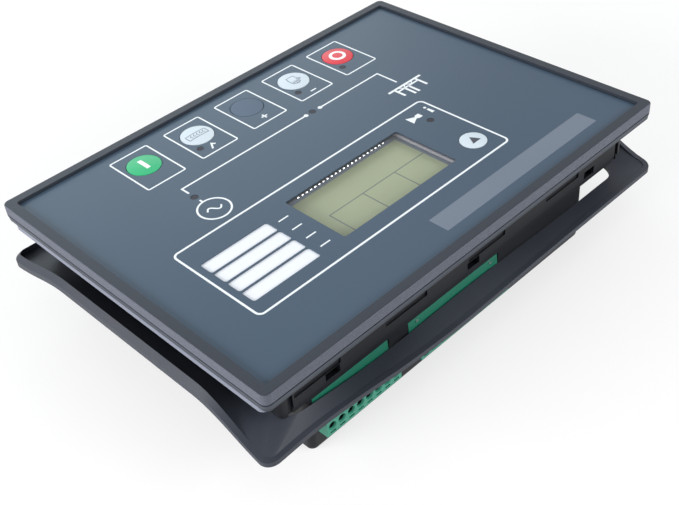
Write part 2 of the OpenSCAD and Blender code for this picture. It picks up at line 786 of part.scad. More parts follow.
// Rubber tray: flat web with an opening for the housing and an outer lip, bent as it hangs
module gasket() {
  outer = loop(gasket_x, gasket_y, gasket_r);
  lip = loop(gasket_x - lip_t, gasket_y - lip_t, gasket_r - lip_t);
  inner = loop(gasket_in_x, gasket_in_y, gasket_in_r);
  n = len(outer);
  sides = 6;
  points = [for (i = [0 : n - 1]) let (
    a = inner[i], b = pulled(outer[i]), c = pulled(lip[i]),
    za = hang(inner_drop, inner_lift, a[0] / gasket_in_x, a[1] / gasket_in_y),
    zb = hang(outer_drop, outer_lift, outer[i][0] / gasket_x, outer[i][1] / gasket_y),
    zc = zb + (za - zb) * norm(b - c) / norm(b - a))
    each [[a[0], a[1], za], [b[0], b[1], zb], [b[0], b[1], zb + lip_h],
      [c[0], c[1], zb + lip_h], [c[0], c[1], zc + web_t], [a[0], a[1], za + web_t]]];
  faces = [for (i = [0 : n - 1], k = [0 : sides - 1])
    let (j = (i + 1) % n, m = (k + 1) % sides)
    each [[i * sides + k, i * sides + m, j * sides + m], [i * sides + k, j * sides + m, j * sides + k]]];
  color([0.14, 0.14, 0.15]) polyhedron(points, faces);
}

front_bezel();
fascia_overlay();
display_window();
label_card();
stop_button();
manual_button();
plus_button();
auto_button();
start_button();
scroll_button();
push_switches();
status_lamps();
display_glass();
display_pins();
display_backlight();
display_board();
board_spacers();
board_link();
main_board();
board_screws();
relays();
capacitors();
logic_chips();
current_sensors();
header_a();
header_b();
header_voltage();
header_current();
header_pins();
plug_a();
plug_b();
plug_voltage();
plug_current();
clamp_screws();
coding_pins();
rear_housing();
case_screws();
gasket();
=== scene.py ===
"""Looks of the generating-set controller: finishes, printed fascia, screws, gasket and the studio round them."""

import math

import bmesh
import bpy
from bpy.props import FloatProperty, FloatVectorProperty, IntProperty, PointerProperty
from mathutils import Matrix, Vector


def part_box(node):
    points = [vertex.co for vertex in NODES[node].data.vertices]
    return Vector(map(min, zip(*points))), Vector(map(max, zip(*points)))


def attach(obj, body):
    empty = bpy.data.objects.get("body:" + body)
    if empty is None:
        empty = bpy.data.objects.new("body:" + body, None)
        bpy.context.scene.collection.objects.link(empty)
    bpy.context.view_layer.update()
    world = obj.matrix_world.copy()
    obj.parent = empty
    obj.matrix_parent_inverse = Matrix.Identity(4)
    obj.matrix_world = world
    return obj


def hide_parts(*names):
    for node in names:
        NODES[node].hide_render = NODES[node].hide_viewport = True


bl_info = {
    "name": "Generating-set controller",
    "version": (1, 0, 0),
    "blender": (4, 5, 0),
    "location": "View3D > Sidebar > Controller",
    "description": "Dresses the controller's pieces and sets the studio round it",
    "category": "Object",
}

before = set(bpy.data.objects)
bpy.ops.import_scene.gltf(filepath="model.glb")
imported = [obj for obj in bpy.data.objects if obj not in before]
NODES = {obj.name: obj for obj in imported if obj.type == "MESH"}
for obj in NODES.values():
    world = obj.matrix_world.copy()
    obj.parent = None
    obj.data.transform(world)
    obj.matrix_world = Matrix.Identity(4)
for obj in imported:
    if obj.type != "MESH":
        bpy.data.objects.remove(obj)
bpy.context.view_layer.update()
MM = 0.001
CASE = "case"


def level(node, end):
    """Height of a node's bottom (0) or top (1), in millimetres."""
    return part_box(node)[end][2] / MM


def plan(node):
    """Middle of a node in plan and half its size, in millimetres: x, y, half width, half height."""
    (x0, y0, _), (x1, y1, _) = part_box(node)
    return tuple(c / 2 / MM for c in (x0 + x1, y0 + y1, x1 - x0, y1 - y0))


# Sizes and places, in millimetres; on the fascia they count from its middle

FACE = level("fascia_overlay", 1)
SPLIT = level("rear_housing", 1)  # between the bezel and the housing
FOOT = level("main_board", 0)  # the collar's foot, where the main board lies
SOFT_EDGE = 0.1  # between two colours

WELL = plan("display_window")
WELL_WALL = 0.2  # reach of the well's colour past the pane, to cover its walls
SIDE_SKIN = 0.3  # depth of the bezel's side, whose coarser grain is painted with lighter glints
GROOVE_UP = 3.3  # from the split up to the groove round the bezel
FLANGE_DOWN = 3.65  # from the split down past the flange, the reach of its painted highlight
HEAD_RADIUS, HEAD_RISE, HEAD_CROSS = 2.8, 2.1, 0.42  # case screws

BUTTONS = ("stop", "manual", "plus", "auto", "start", "scroll")
BUTTON_X = [plan(f"{name}_button")[0] for name in BUTTONS[:5]]
CAP_RADIUS, SCROLL_RADIUS = 8.0, 6.25

INK_SINK = 0.02  # of the print into the film
INK_LAYER = 1e-6  # for each point drawn before, so that crossing lines share no plane
DOT_RISE = 0.01  # of a dot above the line that it ends
FLAT_STEP = 40.0  # a line on the flat film needs no short steps
TITLE_STRIP = (-93.0, 63.5, 9.8, 73.8, 0.4)
BUTTON_FRAME = (10.3, -74.2, -44.5, 0.9)  # half width, bottom, top, corner
DISPLAY_FRAME = (-56.8, -0.2, 92.6, 52.9, 2.6)
BUS_Y, BUS_GAP, BUS_DOT = -33.6, (-22.8, -13.6), 1.15
GENERATOR, GENERATOR_RADIUS = (61.0, -11.7), 7.4
WAVE_STEP, WAVE_RISE, WAVE_CUTS = 0.46, 1.7, 8
INFO_STEM = [(-54.0, 7.4), (-52.8, 7.4), (-52.5, 11.2), (-54.3, 11.2)]
INFO_DOT = (-53.4, 5.7, 0.75)
HORN = [(-47.6, 6.7), (-45.4, 6.7), (-44.2, 7.5), (-40.2, 5.4), (-40.2, 11.0), (-44.2, 8.9), (-45.4, 9.7), (-47.6, 9.7)]

# Printed lines: width and points
LABEL_TICKS = [(0.7, [(44.4, y), (49.8, y)]) for y in (16.4, 24.7, 33.0, 41.3)]
BUS = [
    (0.9, [(-62.5, -20.4), (-62.5, BUS_Y), (BUS_GAP[0], BUS_Y)]),
    (0.9, [(BUS_GAP[1], BUS_Y), (61.4, BUS_Y), (61.4, -28.6)]),
    (0.9, [(61.4, -21.2), (61.4, -19.6)]),
]
PYLON = [
    (1.3, [(-74.5, -16.0), (-52.0, -16.0)]),
    (1.1, [(-70.5, -13.6), (-56.0, -13.6)]),
    (1.3, [(-70.5, -15.8), (-70.5, -7.6)]),
    (1.3, [(-63.5, -13.8), (-63.5, -6.2)]),
    (1.3, [(-60.8, -13.8), (-60.8, -6.2)]),
    (1.3, [(-56.0, -15.8), (-56.0, -8.6)]),
    (0.6, [(-68.0, -15.8), (-65.8, -13.8), (-63.2, -15.8), (-60.8, -13.8), (-58.4, -15.8)]),
]
MINUS = [(0.9, [(-33.9, -47.9), (-30.5, -47.9)])]
PLUS = [(0.9, [(-2.7, -49.2), (0.7, -49.2)]), (0.9, [(-1.0, -50.9), (-1.0, -47.5)])]
TICK = [(0.9, [(28.9, -49.6), (30.1, -51.2), (32.3, -47.4)])]

ACTIVE = (-29.2, 8.8, 41.5, 47.0)
GRID_LINE = (-30.6, 25.6, 30.2, 26.2)
GRID_BRANCHES = [(x - 0.3, 25.6, x + 0.3, 47.0) for x in (-10.2, 9.8, 29.9)]
PIN_COUNT, PIN_HALF, PIN_RADIUS, PIN_MIDDLE, PIN_RISE, PIN_INSET = 22, 0.5, 0.7, 0.2, 0.02, 0.35
PIN_LEG = [(-0.5, -6.8), (-0.1, -6.8), (-0.1, PIN_RISE), (-0.5, PIN_RISE)]

PLUG_WAYS = (("plug_a", 8, 5.08), ("plug_b", 11, 5.08), ("plug_voltage", 4, 7.62), ("plug_current", 5, 5.08))
WIRE_DROP, LATCH_DROP = 13.5, 6  # of the wire entries, and of the plugs' upper part with its painted shade, below the collar's foot
WIRE_RADIUS, WIRE_DEPTH, PLUG_END = 1.7, 0.9, 0.5
CLAMP_IN, CLAMP_TALL, CLAMP_SLIT, CLAMP_DEEP = 4, 1.9, 0.3, 0.6

# Hanging height of the gasket: drops at the corners NE, NW, SW, SE below the collar's foot, and lifts between them
# at the right end, the left end, the sides and over the first plug
OUTER = {"drop": (10.2, 10, 9.5, 5.8), "lift": (9.4, 12, 0, 2.2)}
INNER = {"drop": (2.5, 10, 7.5, 6), "lift": (1, 3.5, -1.3, 0)}
HALF_WAY, END_SKEW = 0.5, 0.25  # reach of the lifts along a side, and how much more an end lifts at its upper half
PLUG_REACH, SAG_REACH, DROOP_REACH = 0.45, 0.5, 0.7  # of the bends by the plugs, as shares of half the width
OPENING_X, OPENING_Y = 107.8, 78.6  # half size of the gasket's opening
PULL_FROM, PULL_OVER = 50, 58
FLAT_FROM, FLAT_OVER = 0.5, 0.4  # where the lip runs out, as shares of half the height
LIP_LEAST = 0.02  # height of the lip above the web
GASKET_X, GASKET_Y = (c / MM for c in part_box("gasket")[1][:2])
PLUG_U, NEXT_U = (plan(plug)[0] / GASKET_X for plug in ("plug_a", "plug_b"))

FLOOR_HALF, FLOOR_LOW, FLOOR_TOP = 3000, -4, -0.05
FADE_FROM, FADE_OVER = 250, 500  # where the floor fades to white

# Lights: name, setting of the power, width, height and place in metres, and colour
LIGHTS = (
    ("right_light", "right", 0.9, 0.4, (1.0, -0.2, 0.36), (1, 1, 1)),
    ("upper_light", "upper", 0.9, 0.4, (-0.5, 0.95, 0.45), (1, 1, 1)),
    ("back_light", "back", 1.2, 0.4, (-0.4, -1.1, 0.6), (0.8, 0.94, 1)),
)


# Kinds of setting


def srgb(r, g, b):
    """A colour as it is read off a screen, 0 to 255, in linear light."""
    shares = (r / 255, g / 255, b / 255)
    return tuple(round(c / 12.92 if c < 0.04045 else ((c + 0.055) / 1.055) ** 2.4, 4) for c in shares)


def colour(name, r, g, b, words):
    """A colour, given as it is read off a screen."""
    return FloatVectorProperty(name=name, description=words, subtype="COLOR", size=3, min=0, max=1,
                               default=srgb(r, g, b))


def size(name, default, words):
    """A length in millimetres."""
    return FloatProperty(name=name, description=words + ", in millimetres", default=default, min=0)


def power(name, default, words):
    """The power of a light."""
    return FloatProperty(name=name, description=words, default=default, min=0, unit="POWER")


# Finishes


class Value:
    """A number that changes over a surface: arithmetic on it adds Math nodes."""

    def __init__(self, nodes, socket):
        self.nodes, self.socket = nodes, socket

    def __add__(self, other):
        return self.nodes.math("ADD", self, other)

    def __sub__(self, other):
        return self.nodes.math("SUBTRACT", self, other)

    def __rsub__(self, other):
        return self.nodes.math("SUBTRACT", other, self)

    def __mul__(self, other):
        return self.nodes.math("MULTIPLY", self, other)

    def __truediv__(self, other):
        return self.nodes.math("DIVIDE", self, other)

    def __pow__(self, other):
        return self.nodes.math("POWER", self, other)

    def __abs__(self):
        return self.nodes.math("ABSOLUTE", self)

    def __or__(self, other):
        return self.nodes.math("MAXIMUM", self, other)

    def __and__(self, other):
        return self.nodes.math("MINIMUM", self, other)

    __radd__, __rmul__, __ror__, __rand__ = __add__, __mul__, __or__, __and__

    def share(self):
        """Held between 0 and 1."""
        return self & 1 | 0

    def inside(self, soft=SOFT_EDGE):
        """1 where this distance is below 0, 0 where it is above, over a soft edge."""
        return (0.5 - self / soft).share()


class Nodes:
    """A shader's node tree, emptied."""

    def __init__(self, tree):
        self.tree = tree
        tree.nodes.clear()

    def node(self, kind, settings=None, sockets=None):
        """Adds any node: its settings first, then the values or links of its sockets."""
        made = self.tree.nodes.new(kind)
        for key, value in (settings or {}).items():
            setattr(made, key, value)
        for key, value in (sockets or {}).items():
            self.feed(made.inputs[key], value)
        return made

    def feed(self, socket, value):
        if isinstance(value, Value):
            value = value.socket
        if isinstance(value, bpy.types.NodeSocket):
            self.tree.links.new(value, socket)
        else:
            socket.default_value = value

    def math(self, operation, *terms):
        made = self.node("ShaderNodeMath", {"operation": operation}, dict(enumerate(terms)))
        return Value(self, made.outputs[0])

    def seen(self):
        """1 for what the camera sees, straight, mirrored or through the pane, and 0 for light on its way."""
        ray = self.node("ShaderNodeLightPath").outputs
        kinds = ("Camera", "Glossy", "Transmission")
        straight, mirrored, through = (Value(self, ray[f"Is {kind} Ray"]) for kind in kinds)
        return straight | mirrored | through


class Finish(Nodes):
    """A material: a Principled shader, Object coordinates and the nodes that feed it."""

    def __init__(self, name, tint, roughness, specular=0.5, **constants):
        self.material = bpy.data.materials.new(name)
        self.material.use_nodes = True
        self.material.diffuse_color = (*tint, 1)
        super().__init__(self.material.node_tree)
        self.tint = tint
        self.shader = self.node("ShaderNodeBsdfPrincipled", sockets={
            "Base Color": (*tint, 1), "Roughness": roughness, "Specular IOR Level": specular, **constants})
        self.output = self.node("ShaderNodeOutputMaterial", sockets={"Surface": self.shader.outputs[0]})
        self.spot = self.node("ShaderNodeTexCoord").outputs["Object"]

    def place(self):
        """Place on the piece along X, Y and Z, in millimetres."""
        split = self.node("ShaderNodeSeparateXYZ", sockets={0: self.spot})
        return [Value(self, out) * (1 / MM) for out in split.outputs]

    def noise(self, grain, detail=3.0, stretch=(1, 1, 1)):
        """Cloudy pattern whose spots are about this size, in millimetres."""
        spot = self.node("ShaderNodeMapping", sockets={"Vector": self.spot, "Scale": stretch}).outputs[0]
        made = self.node("ShaderNodeTexNoise", sockets={"Vector": spot, "Scale": 1 / (grain * MM), "Detail": detail})
        return Value(self, made.outputs[0])

    def mix(self, a, b, mask):
        """Colour a where the mask is 0 and b where it is 1; a Mix node's colours are its sockets 6 and 7, and 2."""
        made = self.node("ShaderNodeMix", {"data_type": "RGBA"}, {0: mask, 6: self.solid(a), 7: self.solid(b)})
        return made.outputs[2]

    @staticmethod
    def solid(tint):
        return (*tint, 1) if isinstance(tint, tuple) and len(tint) == 3 else tint

    def shade(self, amount, mask):
        """The finish's own colour, darker and lighter by this share."""
        dark, light = (tuple(c * k for c in self.tint) for k in (1 - amount, 1 + amount))
        return self.mix(dark, light, mask)

    def paint(self, tint=None, roughness=None):
        if tint is not None:
            self.feed(self.shader.inputs["Base Color"], tint)
        if roughness is not None:
            self.feed(self.shader.inputs["Roughness"], roughness)

    def relief(self, height, depth, strength=1.0, edge=0.0):
        """Raises the surface by this height times the depth in millimetres, and eases edges of that radius."""
        sockets = {"Height": height, "Distance": depth * MM, "Strength": strength}
        if edge:
            sockets["Normal"] = self.node("ShaderNodeBevel", {"samples": 4}, {"Radius": edge * MM}).outputs[0]
        bump = self.node("ShaderNodeBump", sockets=sockets)
        self.feed(self.shader.inputs["Normal"], bump.outputs[0])

    def on(self, *names):
        """Puts the finish on these pieces of the frame."""
        for name in names:
            part = NODES[name]
            if not part.material_slots:
                part.data.materials.append(self.material)
            for place in part.material_slots:
                place.material = self.material


def moulded(name, tint, roughness, grain=0.5, depth=0.03, edge=0.3, vary=0.08, **constants):
    """Moulded plastic: fine spark-eroded grain, cloudy flow marks and eased edges."""
    finish = Finish(name, tint, roughness, **constants)
    fine, cloud = finish.noise(grain, 2.0), finish.noise(22.0)
    finish.paint(finish.shade(vary, cloud * 0.6 + fine * 0.4), roughness - 0.06 + cloud * 0.12)
    finish.relief(fine, depth, 0.6, edge)
    return finish


def metal(name, tint, roughness, scratch=0.6):
    """Plated or turned metal: fine drawn scratches and a faint bloom."""
    finish = Finish(name, tint, roughness, Metallic=1.0)
    lines = finish.noise(scratch, 4.0, (1, 8, 1))
    finish.paint(finish.shade(0.15, finish.noise(3.0)), roughness - 0.1 + lines * 0.2)
    finish.relief(lines, 0.02, 0.4)
    return finish


def printed(name, tint, roughness, vary, mottle=0.8, detail=3.0):
    """Ink or plain print with a faint mottle."""
    finish = Finish(name, tint, roughness)
    finish.paint(finish.shade(vary, finish.noise(mottle, detail)))
    return finish


# Shapes


class Solids:
    """Collects closed solids, in millimetres, and makes one piece of them."""

    def __init__(self):
        self.points, self.faces = [], []

    def block(self, near, far):
        """Block between two outlines of as many points, which run counter-clockwise seen from the far one."""
        n, first = len(near), len(self.points)
        self.points += near + far
        self.faces += [tuple(range(first + n - 1, first - 1, -1)), tuple(range(first + n, first + 2 * n))]
        self.faces += [(first + i, first + (i + 1) % n, first + n + (i + 1) % n, first + n + i) for i in range(n)]

    def prism(self, outline, low, high):
        """Upright block on an outline."""
        self.block(*([(x, y, z) for x, y in outline] for z in (low, high)))

    def bar(self, outline, start, end):
        """Block along X on an outline in Y and Z."""
        self.block(*([(x, y, z) for y, z in outline] for x in (start, end)))

    def band(self, left, right, low, high, closed=False):
        """Strip between two lines of as many points, the left one on the left of the way along it."""
        n, first = len(left), len(self.points)
        for a, b in zip(left, right):
            self.points += [(*a, low), (*b, low), (*b, high), (*a, high)]
        for i in range(n if closed else n - 1):
            p, q = first + 4 * i, first + 4 * ((i + 1) % n)
            self.faces += [(p + k, p + (k + 1) % 4, q + (k + 1) % 4, q + k) for k in range(4)]
        if not closed:
            end = first + 4 * (n - 1)
            self.faces += [(first + 3, first + 2, first + 1, first), (end, end + 1, end + 2, end + 3)]

    def stroke(self, path, width, low, high, closed=False, step=1.0):
        """Line of this width along a path, cut into short steps so that it can follow a dome."""
        path = fine_path([Vector(p) for p in path], step, closed)
        n, left, right = len(path), [], []
        for i, p in enumerate(path):
            before = path[i - 1] if closed or i else p
            after = path[(i + 1) % n] if closed or i < n - 1 else p
            legs = [d.normalized() for d in (p - before, after - p) if d.length > 1e-9]
            along = sum(legs, Vector((0, 0))).normalized()
            side = Vector((-along.y, along.x)) * (width / 2 / max(0.4, along.dot(legs[0])))
            left.append(tuple(p + side))
            right.append(tuple(p - side))
        self.band(left, right, low, high, closed)

    def piece(self, name, finish, lift=None, body=CASE):
        """One mesh object at the origin that rides on a body; lift raises each point by its place."""
        raised = [(x, y, z + (lift(x, y) if lift else 0)) for x, y, z in self.points]
        return settle(name, mesh_of(name, raised, self.faces, finish), body)


def mesh_of(name, points, faces, finish):
    """A mesh with one finish; its points are in millimetres."""
    mesh = bpy.data.meshes.new(name)
    mesh.from_pydata([[c * MM for c in p] for p in points], [], faces)
    mesh.materials.append(finish.material)
    return mesh


def add_object(name, data):
    made = bpy.data.objects.new(name, data)
    bpy.context.scene.collection.objects.link(made)
    return made


def settle(name, mesh, body=CASE):
    """Makes an object of a closed mesh, turns its faces outwards and lets it ride on a body."""
    turned = bmesh.new()
    turned.from_mesh(mesh)
    bmesh.ops.recalc_face_normals(turned, faces=turned.faces)
    turned.to_mesh(mesh)
    turned.free()
    made = add_object(name, mesh)
    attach(made, body)
    return made


def fine_path(path, step, closed):
    """The same path with points no further apart than a step."""
    ends = path[1:] + path[:1] if closed else path[1:]
    fine = []
    for a, b in zip(path, ends):
        cuts = max(1, math.ceil((b - a).length / step))
        fine += [a.lerp(b, k / cuts) for k in range(cuts)]
    return fine if closed else fine + [path[-1]]


def arc(centre, radius, start, end, steps=10):
    turn = [math.radians(start + (end - start) * k / steps) for k in range(steps + 1)]
    return [(centre[0] + radius * math.cos(a), centre[1] + radius * math.sin(a)) for a in turn]


def ring(centre, radius, steps=40):
    return arc(centre, radius, 0, 360, steps)[:-1]


def round_rect(x0, y0, x1, y1, r):
    """Outline of a rectangle with round corners, counter-clockwise."""
    return (arc((x1 - r, y1 - r), r, 0, 90) + arc((x0 + r, y1 - r), r, 90, 180)
            + arc((x0 + r, y0 + r), r, 180, 270) + arc((x1 - r, y0 + r), r, 270, 360))


def ease(t):
    """0 up to 0, 1 from 1 on, and a smooth step between them."""
    t = max(0, min(1, t))
    return t * t * (3 - 2 * t)


def rows_tree():
    """Geometry Nodes tree that sets copies of one piece along a line."""
    tree = bpy.data.node_groups.new("piece_row", "GeometryNodeTree")
    for name, kind in (("Piece", "NodeSocketObject"), ("Count", "NodeSocketInt"), ("Start", "NodeSocketVector"),
                       ("Step", "NodeSocketVector"), ("Finish", "NodeSocketMaterial")):
        tree.interface.new_socket(name, in_out="INPUT", socket_type=kind)
    tree.interface.new_socket("Geometry", in_out="OUTPUT", socket_type="NodeSocketGeometry")
    add, join = tree.nodes.new, tree.links.new
    given, result = add("NodeGroupInput"), add("NodeGroupOutput")
    line, piece = add("GeometryNodeMeshLine"), add("GeometryNodeObjectInfo")
    copies, real = add("GeometryNodeInstanceOnPoints"), add("GeometryNodeRealizeInstances")
    coat = add("GeometryNodeSetMaterial")
    join(given.outputs["Count"], line.inputs["Count"])
    join(given.outputs["Start"], line.inputs["Start Location"])
    join(given.outputs["Step"], line.inputs["Offset"])
    join(given.outputs["Piece"], piece.inputs["Object"])
    join(line.outputs["Mesh"], copies.inputs["Points"])
    join(piece.outputs["Geometry"], copies.inputs["Instance"])
    join(copies.outputs[0], real.inputs[0])
    join(real.outputs[0], coat.inputs["Geometry"])
    join(given.outputs["Finish"], coat.inputs["Material"])
    join(coat.outputs[0], result.inputs[0])
    return tree


def rows(name, pattern, finish, lines):
    """One mesh of copies of a pattern along several lines of (count, start, step), in millimetres."""
    tree = rows_tree()
    keys = {item.name: item.identifier for item in tree.interface.items_tree if item.in_out == "INPUT"}
    copy = pattern.piece(name + "_pattern", finish)
    together = bmesh.new()
    for count, start, step in lines:
        holder = add_object(name + "_row", bpy.data.meshes.new(name + "_row"))
        modifier = holder.modifiers.new("row", "NODES")
        modifier.node_group = tree
        values = {"Piece": copy, "Count": count, "Start": [c * MM for c in start], "Step": [c * MM for c in step],
                  "Finish": finish.material}
        for key, value in values.items():
            modifier[keys[key]] = value
        held = holder.evaluated_get(bpy.context.evaluated_depsgraph_get())
        together.from_mesh(bpy.data.meshes.new_from_object(held))
        bpy.data.objects.remove(holder)
    bpy.data.objects.remove(copy)
    mesh = bpy.data.meshes.new(name)
    together.to_mesh(mesh)
    together.free()
    mesh.materials.clear()
    mesh.materials.append(finish.material)
    return settle(name, mesh)


# Settings


class CaseSettings(bpy.types.PropertyGroup):
    bezel: colour("Bezel", 44, 50, 60, "Colour of the bezel")
    # The band's lighter colour is painted glints: light caught by the grain on the bezel's side
    band: colour("Band", 90, 94, 107, "Colour of the coarse grain on the bezel's side")
    # The flange's pale colour is a painted highlight, standing in for light caught along its lower edge
    flange: colour("Flange", 112, 116, 130, "Colour of the housing's flange")
    well: colour("Well", 134, 132, 142, "Colour of the well round the display")
    # The housing is painted darker than the bezel: its own dark plastic plus painted shade under the bezel's overhang
    housing: colour("Housing", 17, 19, 24, "Colour of the rear housing")
    grain: size("Grain", 0.45, "Size of the moulded grain")
    corner: size("Corner", 3.0, "Corner radius of the bezel")
    screw: colour("Screws", 190, 192, 194, "Colour of the plated screws")


class FasciaSettings(bpy.types.PropertyGroup):
    film: colour("Film", 66, 84, 102, "Colour of the printed film")
    strip: colour("Title strip", 104, 116, 132, "Colour of the bare title strip")
    print_tint: colour("Print", 236, 242, 246, "Colour of the lines and signs")
    card: colour("Labels", 236, 240, 247, "Colour of the label card")
    line: size("Line", 0.8, "Width of the lines round the buttons")
    ink: size("Ink", 0.03, "How far the print stands up")
    lamp: colour("Lamps", 40, 38, 48, "Colour of the unlit lamps")


class DisplaySettings(bpy.types.PropertyGroup):
    face: colour("Face", 155, 164, 126, "Colour of the display's active area")
    margin: colour("Margin", 106, 118, 132, "Colour of the glass outside the active area")
    lines: colour("Lines", 92, 98, 94, "Colour of the display's grid")


class ButtonSettings(bpy.types.PropertyGroup):
    red: colour("Stop", 218, 58, 70, "Colour of the stop button")
    green: colour("Start", 48, 180, 120, "Colour of the start button")
    # The plus cap is painted lighter than the film, its colour standing in for the film's sheen
    grey: colour("Plus", 98, 113, 131, "Colour of the button that matches the film")
    white: colour("White", 209, 222, 231, "Colour of the white buttons")
    sign: colour("Signs", 120, 132, 146, "Colour of the signs on the white buttons")
    dome: size("Dome", 0.5, "Height of a button's dome")


class TerminalSettings(bpy.types.PropertyGroup):
    plug: colour("Plugs", 34, 128, 104, "Colour of the terminal plugs")
    header: colour("Headers", 20, 96, 74, "Colour of the headers behind them")
    # The latches' darker green is painted shade, for the shadow under the bezel's overhang
    shaded_latch: colour("Latches", 18, 102, 80, "Colour of the plugs' upper part")
    # The dark colour inside the wire entries is painted shade in the openings
    clamp: colour("Clamps", 22, 30, 30, "Colour inside the wire entries")
    screw_radius: size("Screw radius", 1.5, "Radius of a clamp screw")


class GasketSettings(bpy.types.PropertyGroup):
    rubber: colour("Rubber", 50, 54, 63, "Colour of the rubber")
    web: size("Web", 2.0, "Thickness of the web")
    lip_width: size("Lip width", 2.5, "Thickness of the outer lip")
    lip_height: size("Lip height", 3.0, "Height of the outer lip's outside")
    slant: size("Slant", 2.4, "How much higher the lip's inside is")
    run_out: size("Run-out", 0.7, "How much lower the lip is along the upper side")
    sag: size("Sag", 0.8, "How far the edge sags before the second plug")
    droop: size("Droop", 2.2, "How far the inner edge droops behind the first plug")
    bend: size("Bend", 9.0, "Corner radius of the inner edge")
    spread: size("Spread", 50.0, "How far along a side a corner's bend spreads")
    radius: size("Corner", 6.0, "Corner radius")
    edge: size("Edge", 0.5, "Rounding of the edges")
    pull: size("Pull", 4.0, "Pull of the upper edge towards the housing")
    steps: IntProperty(name="Steps", description="Points along a long side", default=64, min=8)


class StageSettings(bpy.types.PropertyGroup):
    floor: colour("Floor", 252, 252, 252, "Colour of the floor")
    eye: FloatVectorProperty(name="Camera place", description="Where the camera stands", subtype="TRANSLATION",
                             unit="LENGTH", default=(0.25509, 0.28439, 0.31602))
    turn: FloatVectorProperty(name="Camera turn", description="How the camera is turned", subtype="EULER",
                              default=tuple(math.radians(a) for a in (50.118, 4.274, 134.940)))
    lens: FloatProperty(name="Lens", description="Focal length on a 36 mm sensor", default=54.63, unit="CAMERA")
    pale: FloatProperty(name="Pale", description="How far the floor fades to white", default=0.65, min=0, max=1)
    sky: FloatProperty(name="Sky", description="Strength of the light from all round", default=0.47, min=0)
    right: power("Right light", 13.0, "Power of the soft light at the right end")
    upper: power("Upper light", 9.0, "Power of the soft light at the upper edge")
    back: power("Back light", 5.0, "Power of the light behind")


GROUPS = {"controller_case": CaseSettings, "controller_fascia": FasciaSettings, "controller_display": DisplaySettings,
          "controller_buttons": ButtonSettings, "controller_terminals": TerminalSettings,
          "controller_gasket": GasketSettings, "controller_stage": StageSettings}


def tint(value):
    return tuple(value)


# Pieces


class CONTROLLER_OT_case(bpy.types.Operator):
    """Finish of the bezel and the rear housing, and the screws that hold them together"""

    bl_idname = "controller.dress_case"
    bl_label = "Case"

    def execute(self, context):
        s = context.scene.controller_case
        self.bezel(s)
        self.housing(s)
        low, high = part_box("case_screws")
        seat = level("case_screws", 0) + HEAD_RISE
        x0, x1 = low[0] / MM + HEAD_RADIUS, high[0] / MM - HEAD_RADIUS
        y0, y1 = low[1] / MM + HEAD_RADIUS, high[1] / MM - HEAD_RADIUS
        heads = rows("case_screw_heads", self.head(), metal("screw_steel", tint(s.screw), 0.35),
                     [(2, (x, y0, seat), (0, y1 - y0, 0)) for x in (x0, x1)])
        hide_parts("case_screws")
        return {"FINISHED"}

    def bezel(self, s):
        """Fine grain on the front, coarser grain on the side painted with lighter glints, strongest above the groove
        where more light falls, and a plain well round the display.
        """
        bezel = Finish("bezel_plastic", tint(s.bezel), 0.5, 0.3)
        fine, cloud = bezel.noise(s.grain, 2.0), bezel.noise(25.0)
        x, y, z = bezel.place()
        past_x, past_y = abs(x - WELL[0]) - WELL[2], abs(y - WELL[1]) - WELL[3]
        well = (past_x - WELL_WALL | past_y - WELL_WALL | z - FACE).inside()
        grain = bezel.shade(0.3, cloud * 0.15 + fine * 0.85)
        half_w, half_h = (c / MM - s.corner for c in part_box("front_bezel")[1][:2])
        past_x, past_y = abs(x) - half_w | 0, abs(y) - half_h | 0
        reach = (past_x * past_x + past_y * past_y) ** 0.5
        side = (s.corner - SIDE_SKIN - reach).inside()
        # Painted glints on the side: lighter specks, strongest above the groove, standing in for light caught by the
        # grain
        upper = (SPLIT + GROOVE_UP - z).inside()
        glint_speck = ((bezel.noise(0.6 * s.grain, 2.0) - 0.4) * 4).share()
        glinting = (glint_speck * 0.6 + 0.4) * (upper * 0.7 + 0.3)
        grain = bezel.mix(grain, bezel.mix(tint(s.bezel), tint(s.band), glinting), side)
        bezel.paint(bezel.mix(grain, tint(s.well), well), 0.42 + fine * 0.16)
        bezel.relief(fine, 0.06, 0.7, 0.12)
        bezel.on("front_bezel")

    def housing(self, s):
        """Dark satin, painted darker than the bezel as shade under its overhang, with the flange's side paler as a
        painted highlight.
        """
        # The housing's dark colour includes painted shade under the bezel's overhang
        housing = Finish("housing_plastic", tint(s.housing), 0.45, 0.25)
        fine, cloud = housing.noise(s.grain, 2.0), housing.noise(22.0)
        # Painted highlight: the flange is painted paler, for the light that its edge catches
        flange = (SPLIT - FLANGE_DOWN - housing.place()[2]).inside()
        grain = housing.shade(0.08, cloud * 0.6 + fine * 0.4)
        housing.paint(housing.mix(grain, tint(s.flange), flange), 0.4 + cloud * 0.12)
        housing.relief(fine, 0.03, 0.6, 0.2)
        housing.on("rear_housing")

    def head(self):
        """Head of a case screw, its cross between four raised quarters."""
        head = Solids()
        bottom = -0.9 * HEAD_RISE
        head.prism(ring((0, 0), HEAD_RADIUS, 28), bottom, 0)
        quarter = [(HEAD_CROSS, HEAD_CROSS)] + arc((0, 0), 0.86 * HEAD_RADIUS, 12, 78, 6)
        for k in range(4):
            c, t = math.cos(k * math.pi / 2), math.sin(k * math.pi / 2)
            head.prism([(x * c - y * t, x * t + y * c) for x, y in quarter], -HEAD_RISE, bottom)
        return head


